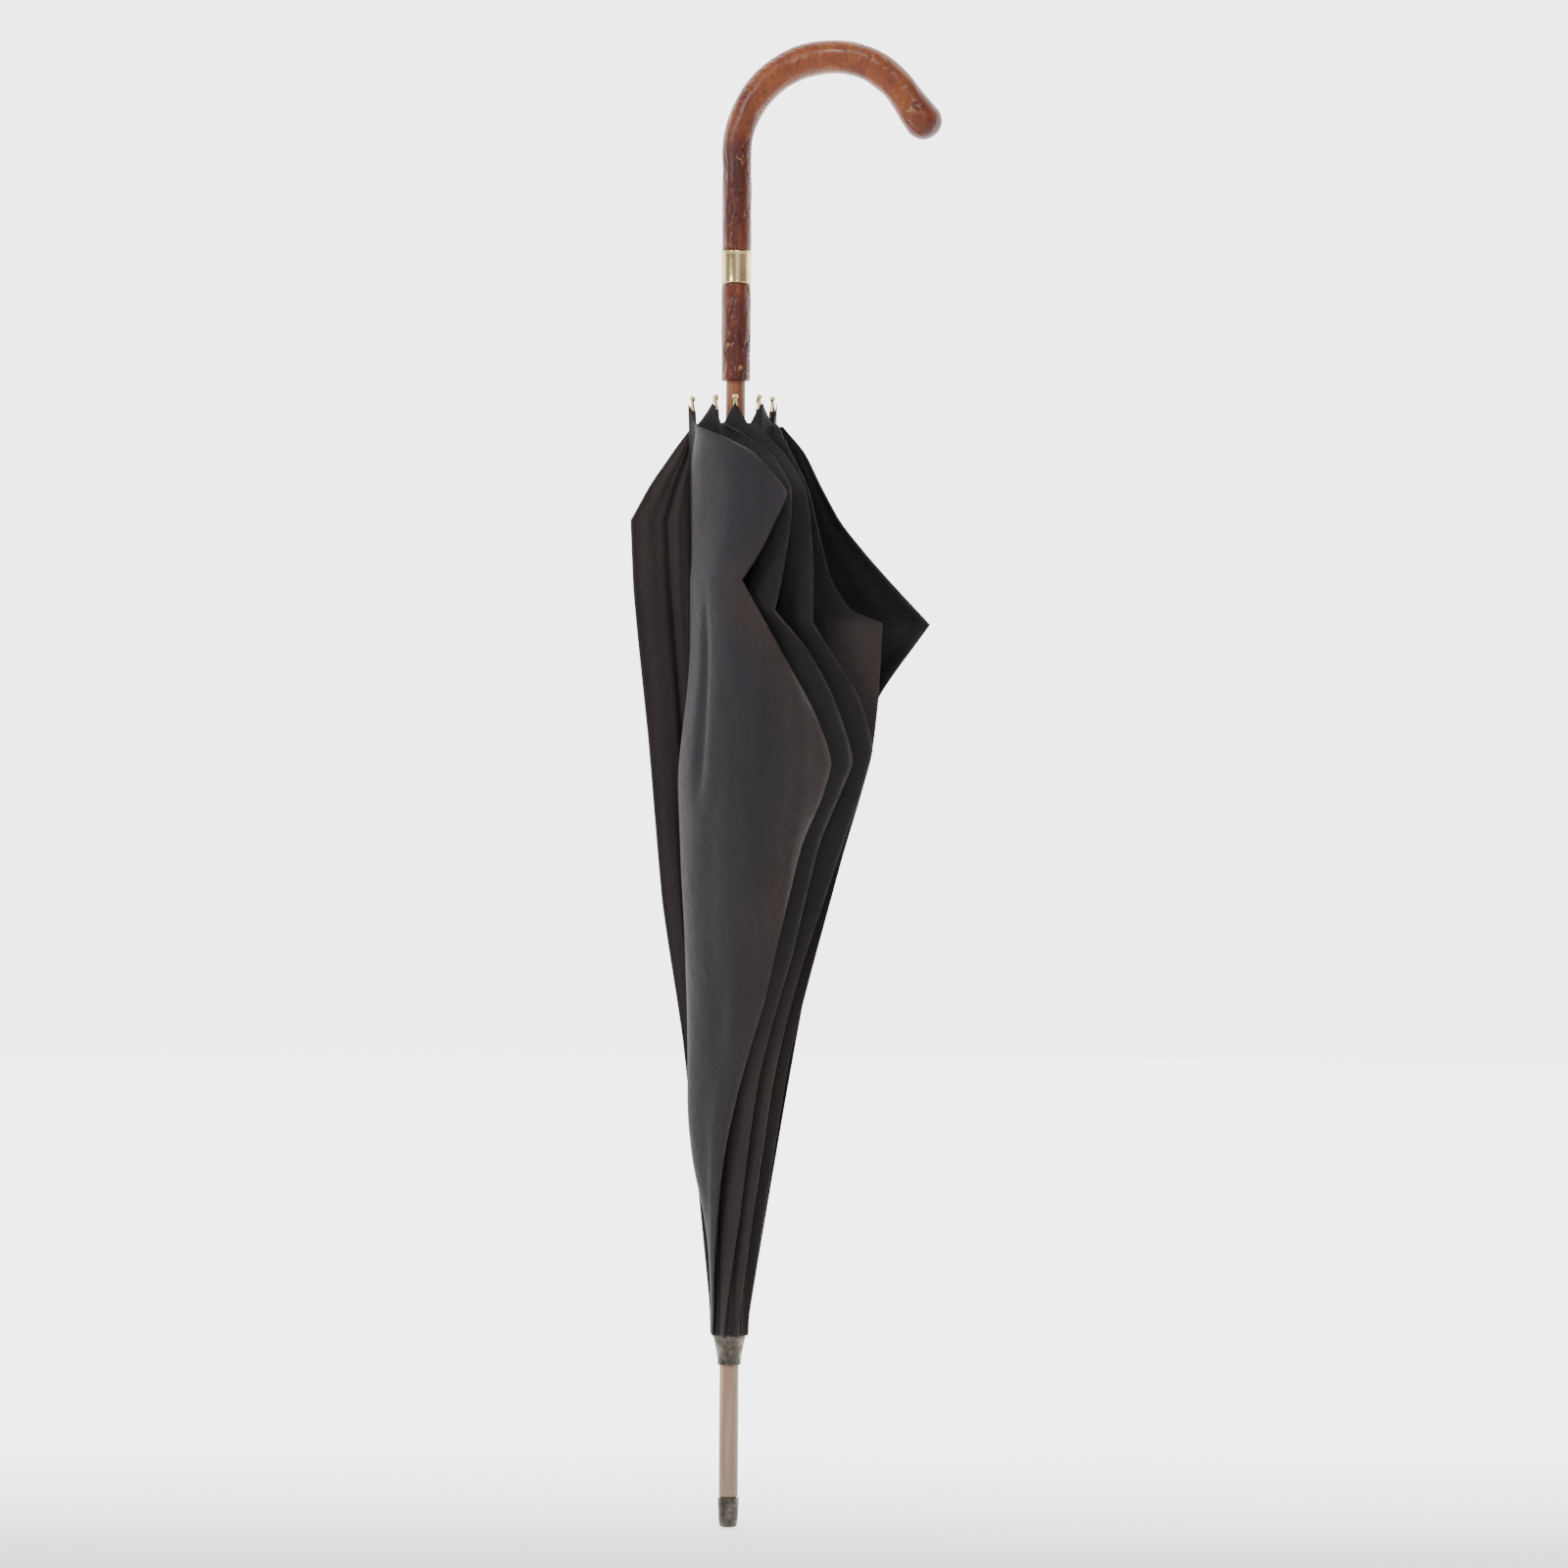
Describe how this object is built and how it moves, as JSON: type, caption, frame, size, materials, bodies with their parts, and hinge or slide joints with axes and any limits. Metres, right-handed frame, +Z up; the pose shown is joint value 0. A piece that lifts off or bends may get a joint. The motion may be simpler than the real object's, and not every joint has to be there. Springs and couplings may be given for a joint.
{
  "type": "stick umbrella",
  "caption": "Closed stick umbrella with a leather-covered crook handle, loose folded cloth canopy, sliding runner and folding rib frame.",
  "frame": {"origin": "on the stick's axis at the middle of the brass collar, where a hand holds the umbrella up", "axes": "+Z up along the stick towards the crook; +X towards the side that the crook bends over"},
  "size_m": [0.188, 0.1294, 0.9179],
  "materials": {
    "stick_wood": "worn satin, pale where the varnish has gone",
    "leather": "polished, embossed with a basket of slanting ridges",
    "collar_brass": "polished with light tarnish",
    "aged_metal": "dark, tarnished",
    "spring_steel": "drawn",
    "black_frame": "black enamel",
    "canopy_cloth": "closely woven, faintly brown black"
  },
  "bodies": {
    "stick": {"stick": "stick_wood", "ferrule": "aged_metal", "crown_cap": "aged_metal", "crown_rosette": "canopy_cloth", "top_notch": "black_frame", "notch_wire": "spring_steel", "grip_leather": "leather", "collar_band": "collar_brass", "crook_core": "stick_wood", "crook_leather": "leather"},
    "runner": {"runner": "black_frame", "runner_wire": "spring_steel"},
    "top_spring": {"top_spring": "spring_steel"},
    "hand_spring": {"hand_spring": "spring_steel"},
    "rib_1": {"rib_1": "black_frame", "rib_tip_1": "collar_brass"},
    "stretcher_1": {"stretcher_1": "black_frame"},
    "pleat_1": {"pleat_1": "canopy_cloth"},
    "seam_1": {"seam_1": "canopy_cloth"},
    "rib_2": {"rib_2": "black_frame", "rib_tip_2": "collar_brass"},
    "stretcher_2": {"stretcher_2": "black_frame"},
    "pleat_2": {"pleat_2": "canopy_cloth"},
    "seam_2": {"seam_2": "canopy_cloth"},
    "rib_3": {"rib_3": "black_frame", "rib_tip_3": "collar_brass"},
    "stretcher_3": {"stretcher_3": "black_frame"},
    "pleat_3": {"pleat_3": "canopy_cloth"},
    "seam_3": {"seam_3": "canopy_cloth"},
    "rib_4": {"rib_4": "black_frame", "rib_tip_4": "collar_brass"},
    "stretcher_4": {"stretcher_4": "black_frame"},
    "pleat_4": {"pleat_4": "canopy_cloth"},
    "seam_4": {"seam_4": "canopy_cloth"},
    "rib_5": {"rib_5": "black_frame", "rib_tip_5": "collar_brass"},
    "stretcher_5": {"stretcher_5": "black_frame"},
    "pleat_5": {"pleat_5": "canopy_cloth"},
    "seam_5": {"seam_5": "canopy_cloth"},
    "rib_6": {"rib_6": "black_frame", "rib_tip_6": "collar_brass"},
    "stretcher_6": {"stretcher_6": "black_frame"},
    "pleat_6": {"pleat_6": "canopy_cloth"},
    "seam_6": {"seam_6": "canopy_cloth"},
    "rib_7": {"rib_7": "black_frame", "rib_tip_7": "collar_brass"},
    "stretcher_7": {"stretcher_7": "black_frame"},
    "pleat_7": {"pleat_7": "canopy_cloth"},
    "seam_7": {"seam_7": "canopy_cloth"},
    "rib_8": {"rib_8": "black_frame", "rib_tip_8": "collar_brass"},
    "stretcher_8": {"stretcher_8": "black_frame"},
    "pleat_8": {"pleat_8": "canopy_cloth"},
    "seam_8": {"seam_8": "canopy_cloth"}
  },
  "joints": [
    {"name": "runner_slide", "type": "slide", "parent": "stick", "child": "runner", "axis": [0, 0, -1], "range_m": [0, 0.3081], "deforming": ["pleat_1", "pleat_2", "pleat_3", "pleat_4", "pleat_5", "pleat_6", "pleat_7", "pleat_8", "seam_1", "seam_2", "seam_3", "seam_4", "seam_5", "seam_6", "seam_7", "seam_8"]},
    {"name": "rib_1_hinge", "type": "hinge", "parent": "stick", "child": "rib_1", "pos_m": [0.0077, 0, -0.65], "axis": [0, 1, 0], "range_deg": [0, 76.48]},
    {"name": "rib_2_hinge", "type": "hinge", "parent": "stick", "child": "rib_2", "pos_m": [0.00545, 0.00545, -0.65], "axis": [-0.7071, 0.7071, 0], "range_deg": [0, 76.79]},
    {"name": "rib_3_hinge", "type": "hinge", "parent": "stick", "child": "rib_3", "pos_m": [0, 0.0077, -0.65], "axis": [-1, 0, 0], "range_deg": [0, 77.09]},
    {"name": "rib_4_hinge", "type": "hinge", "parent": "stick", "child": "rib_4", "pos_m": [-0.00545, 0.00545, -0.65], "axis": [-0.7071, -0.7071, 0], "range_deg": [0, 76.99]},
    {"name": "rib_5_hinge", "type": "hinge", "parent": "stick", "child": "rib_5", "pos_m": [-0.0077, 0, -0.65], "axis": [0, -1, 0], "range_deg": [0, 76.12]},
    {"name": "rib_6_hinge", "type": "hinge", "parent": "stick", "child": "rib_6", "pos_m": [-0.00545, -0.00545, -0.65], "axis": [0.7071, -0.7071, 0], "range_deg": [0, 77.09]},
    {"name": "rib_7_hinge", "type": "hinge", "parent": "stick", "child": "rib_7", "pos_m": [0, -0.0077, -0.65], "axis": [1, 0, 0], "range_deg": [0, 77.09]},
    {"name": "rib_8_hinge", "type": "hinge", "parent": "stick", "child": "rib_8", "pos_m": [0.00545, -0.00545, -0.65], "axis": [0.7071, 0.7071, 0], "range_deg": [0, 76.69]},
    {"name": "stretcher_1_hinge", "type": "hinge", "parent": "runner", "child": "stretcher_1", "pos_m": [0.0084, 0.0024, -0.175], "axis": [0, -1, 0], "range_deg": [0, 60.11]},
    {"name": "stretcher_2_hinge", "type": "hinge", "parent": "runner", "child": "stretcher_2", "pos_m": [0.00424, 0.00764, -0.175], "axis": [0.7071, -0.7071, 0], "range_deg": [0, 60.38]},
    {"name": "stretcher_3_hinge", "type": "hinge", "parent": "runner", "child": "stretcher_3", "pos_m": [-0.0024, 0.0084, -0.175], "axis": [1, 0, 0], "range_deg": [0, 60.65]},
    {"name": "stretcher_4_hinge", "type": "hinge", "parent": "runner", "child": "stretcher_4", "pos_m": [-0.00764, 0.00424, -0.175], "axis": [0.7071, 0.7071, 0], "range_deg": [0, 60.56]},
    {"name": "stretcher_5_hinge", "type": "hinge", "parent": "runner", "child": "stretcher_5", "pos_m": [-0.0084, -0.0024, -0.175], "axis": [0, 1, 0], "range_deg": [0, 59.78]},
    {"name": "stretcher_6_hinge", "type": "hinge", "parent": "runner", "child": "stretcher_6", "pos_m": [-0.00424, -0.00764, -0.175], "axis": [-0.7071, 0.7071, 0], "range_deg": [0, 60.65]},
    {"name": "stretcher_7_hinge", "type": "hinge", "parent": "runner", "child": "stretcher_7", "pos_m": [0.0024, -0.0084, -0.175], "axis": [-1, 0, 0], "range_deg": [0, 60.65]},
    {"name": "stretcher_8_hinge", "type": "hinge", "parent": "runner", "child": "stretcher_8", "pos_m": [0.00764, -0.00424, -0.175], "axis": [-0.7071, -0.7071, 0], "range_deg": [0, 60.29]},
    {"name": "pleat_1_hinge", "type": "hinge", "parent": "rib_1", "child": "pleat_1", "pos_m": [0.0077, 0.00319, -0.65], "axis": [-0.7722, -0.1831, -0.6084], "range_deg": [0, 27.64]},
    {"name": "seam_1_hinge", "type": "hinge", "parent": "rib_2", "child": "seam_1", "pos_m": [0.0077, 0.00319, -0.65], "axis": [0.6805, 0.4071, 0.6092], "range_deg": [0, 27.7]},
    {"name": "pleat_2_hinge", "type": "hinge", "parent": "rib_2", "child": "pleat_2", "pos_m": [0.00319, 0.0077, -0.65], "axis": [-0.4158, -0.6741, -0.6105], "range_deg": [0, 27.74]},
    {"name": "seam_2_hinge", "type": "hinge", "parent": "rib_3", "child": "seam_2", "pos_m": [0.00319, 0.0077, -0.65], "axis": [0.1929, 0.7675, 0.6113], "range_deg": [0, 27.79]},
    {"name": "pleat_3_hinge", "type": "hinge", "parent": "rib_3", "child": "pleat_3", "pos_m": [-0.00319, 0.0077, -0.65], "axis": [0.1894, -0.7681, -0.6117], "range_deg": [0, 27.81]},
    {"name": "seam_3_hinge", "type": "hinge", "parent": "rib_4", "child": "seam_3", "pos_m": [-0.00319, 0.0077, -0.65], "axis": [-0.4124, 0.6753, 0.6114], "range_deg": [0, 27.79]},
    {"name": "pleat_4_hinge", "type": "hinge", "parent": "rib_4", "child": "pleat_4", "pos_m": [-0.0077, 0.00319, -0.65], "axis": [0.6856, -0.3984, -0.6093], "range_deg": [0, 27.73]},
    {"name": "seam_4_hinge", "type": "hinge", "parent": "rib_5", "child": "seam_4", "pos_m": [-0.0077, 0.00319, -0.65], "axis": [-0.7755, 0.1735, 0.607], "range_deg": [0, 27.57]},
    {"name": "pleat_5_hinge", "type": "hinge", "parent": "rib_5", "child": "pleat_5", "pos_m": [-0.0077, -0.00319, -0.65], "axis": [0.7758, 0.1717, -0.6072], "range_deg": [0, 27.58]},
    {"name": "seam_5_hinge", "type": "hinge", "parent": "rib_6", "child": "seam_5", "pos_m": [-0.0077, -0.00319, -0.65], "axis": [-0.6861, -0.3967, 0.6098], "range_deg": [0, 27.76]},
    {"name": "pleat_6_hinge", "type": "hinge", "parent": "rib_6", "child": "pleat_6", "pos_m": [-0.00319, -0.0077, -0.65], "axis": [0.4107, 0.676, -0.6119], "range_deg": [0, 27.81]},
    {"name": "seam_6_hinge", "type": "hinge", "parent": "rib_7", "child": "seam_6", "pos_m": [-0.00319, -0.0077, -0.65], "axis": [-0.1876, -0.7684, 0.6119], "range_deg": [0, 27.81]},
    {"name": "pleat_7_hinge", "type": "hinge", "parent": "rib_7", "child": "pleat_7", "pos_m": [0.00319, -0.0077, -0.65], "axis": [-0.1947, 0.7673, -0.611], "range_deg": [0, 27.79]},
    {"name": "seam_7_hinge", "type": "hinge", "parent": "rib_8", "child": "seam_7", "pos_m": [0.00319, -0.0077, -0.65], "axis": [0.4175, -0.6735, 0.61], "range_deg": [0, 27.71]},
    {"name": "pleat_8_hinge", "type": "hinge", "parent": "rib_8", "child": "pleat_8", "pos_m": [0.0077, -0.00319, -0.65], "axis": [-0.6799, 0.4088, -0.6087], "range_deg": [0, 27.68]},
    {"name": "seam_8_hinge", "type": "hinge", "parent": "rib_1", "child": "seam_8", "pos_m": [0.0077, -0.00319, -0.65], "axis": [0.772, -0.1848, 0.6082], "range_deg": [0, 27.64]},
    {"name": "top_spring_press", "type": "slide", "parent": "stick", "child": "top_spring", "axis": [-0.9239, -0.3827, 0], "range_m": [0, 0.0022], "stiffness_N_per_m": 400},
    {"name": "hand_spring_press", "type": "slide", "parent": "stick", "child": "hand_spring", "axis": [-0.9239, -0.3827, 0], "range_m": [0, 0.0022], "stiffness_N_per_m": 400}
  ],
  "couplings": [
    {"joint": "rib_1_hinge", "follows": "runner_slide", "rad_per_m": 4.3316},
    {"joint": "rib_2_hinge", "follows": "runner_slide", "rad_per_m": 4.3486},
    {"joint": "rib_3_hinge", "follows": "runner_slide", "rad_per_m": 4.3657},
    {"joint": "rib_4_hinge", "follows": "runner_slide", "rad_per_m": 4.36},
    {"joint": "rib_5_hinge", "follows": "runner_slide", "rad_per_m": 4.3111},
    {"joint": "rib_6_hinge", "follows": "runner_slide", "rad_per_m": 4.3657},
    {"joint": "rib_7_hinge", "follows": "runner_slide", "rad_per_m": 4.3657},
    {"joint": "rib_8_hinge", "follows": "runner_slide", "rad_per_m": 4.343},
    {"joint": "stretcher_1_hinge", "follows": "runner_slide", "rad_per_m": 3.4038},
    {"joint": "stretcher_2_hinge", "follows": "runner_slide", "rad_per_m": 3.4191},
    {"joint": "stretcher_3_hinge", "follows": "runner_slide", "rad_per_m": 3.4345},
    {"joint": "stretcher_4_hinge", "follows": "runner_slide", "rad_per_m": 3.4293},
    {"joint": "stretcher_5_hinge", "follows": "runner_slide", "rad_per_m": 3.3854},
    {"joint": "stretcher_6_hinge", "follows": "runner_slide", "rad_per_m": 3.4345},
    {"joint": "stretcher_7_hinge", "follows": "runner_slide", "rad_per_m": 3.4345},
    {"joint": "stretcher_8_hinge", "follows": "runner_slide", "rad_per_m": 3.414},
    {"joint": "pleat_1_hinge", "follows": "runner_slide", "rad_per_m": 1.5649},
    {"joint": "seam_1_hinge", "follows": "runner_slide", "rad_per_m": 1.5681},
    {"joint": "pleat_2_hinge", "follows": "runner_slide", "rad_per_m": 1.5701},
    {"joint": "seam_2_hinge", "follows": "runner_slide", "rad_per_m": 1.5733},
    {"joint": "pleat_3_hinge", "follows": "runner_slide", "rad_per_m": 1.574},
    {"joint": "seam_3_hinge", "follows": "runner_slide", "rad_per_m": 1.5729},
    {"joint": "pleat_4_hinge", "follows": "runner_slide", "rad_per_m": 1.5698},
    {"joint": "seam_4_hinge", "follows": "runner_slide", "rad_per_m": 1.5606},
    {"joint": "pleat_5_hinge", "follows": "runner_slide", "rad_per_m": 1.561},
    {"joint": "seam_5_hinge", "follows": "runner_slide", "rad_per_m": 1.5713},
    {"joint": "pleat_6_hinge", "follows": "runner_slide", "rad_per_m": 1.5743},
    {"joint": "seam_6_hinge", "follows": "runner_slide", "rad_per_m": 1.5743},
    {"joint": "pleat_7_hinge", "follows": "runner_slide", "rad_per_m": 1.573},
    {"joint": "seam_7_hinge", "follows": "runner_slide", "rad_per_m": 1.5687},
    {"joint": "pleat_8_hinge", "follows": "runner_slide", "rad_per_m": 1.5667},
    {"joint": "seam_8_hinge", "follows": "runner_slide", "rad_per_m": 1.5645}
  ]
}
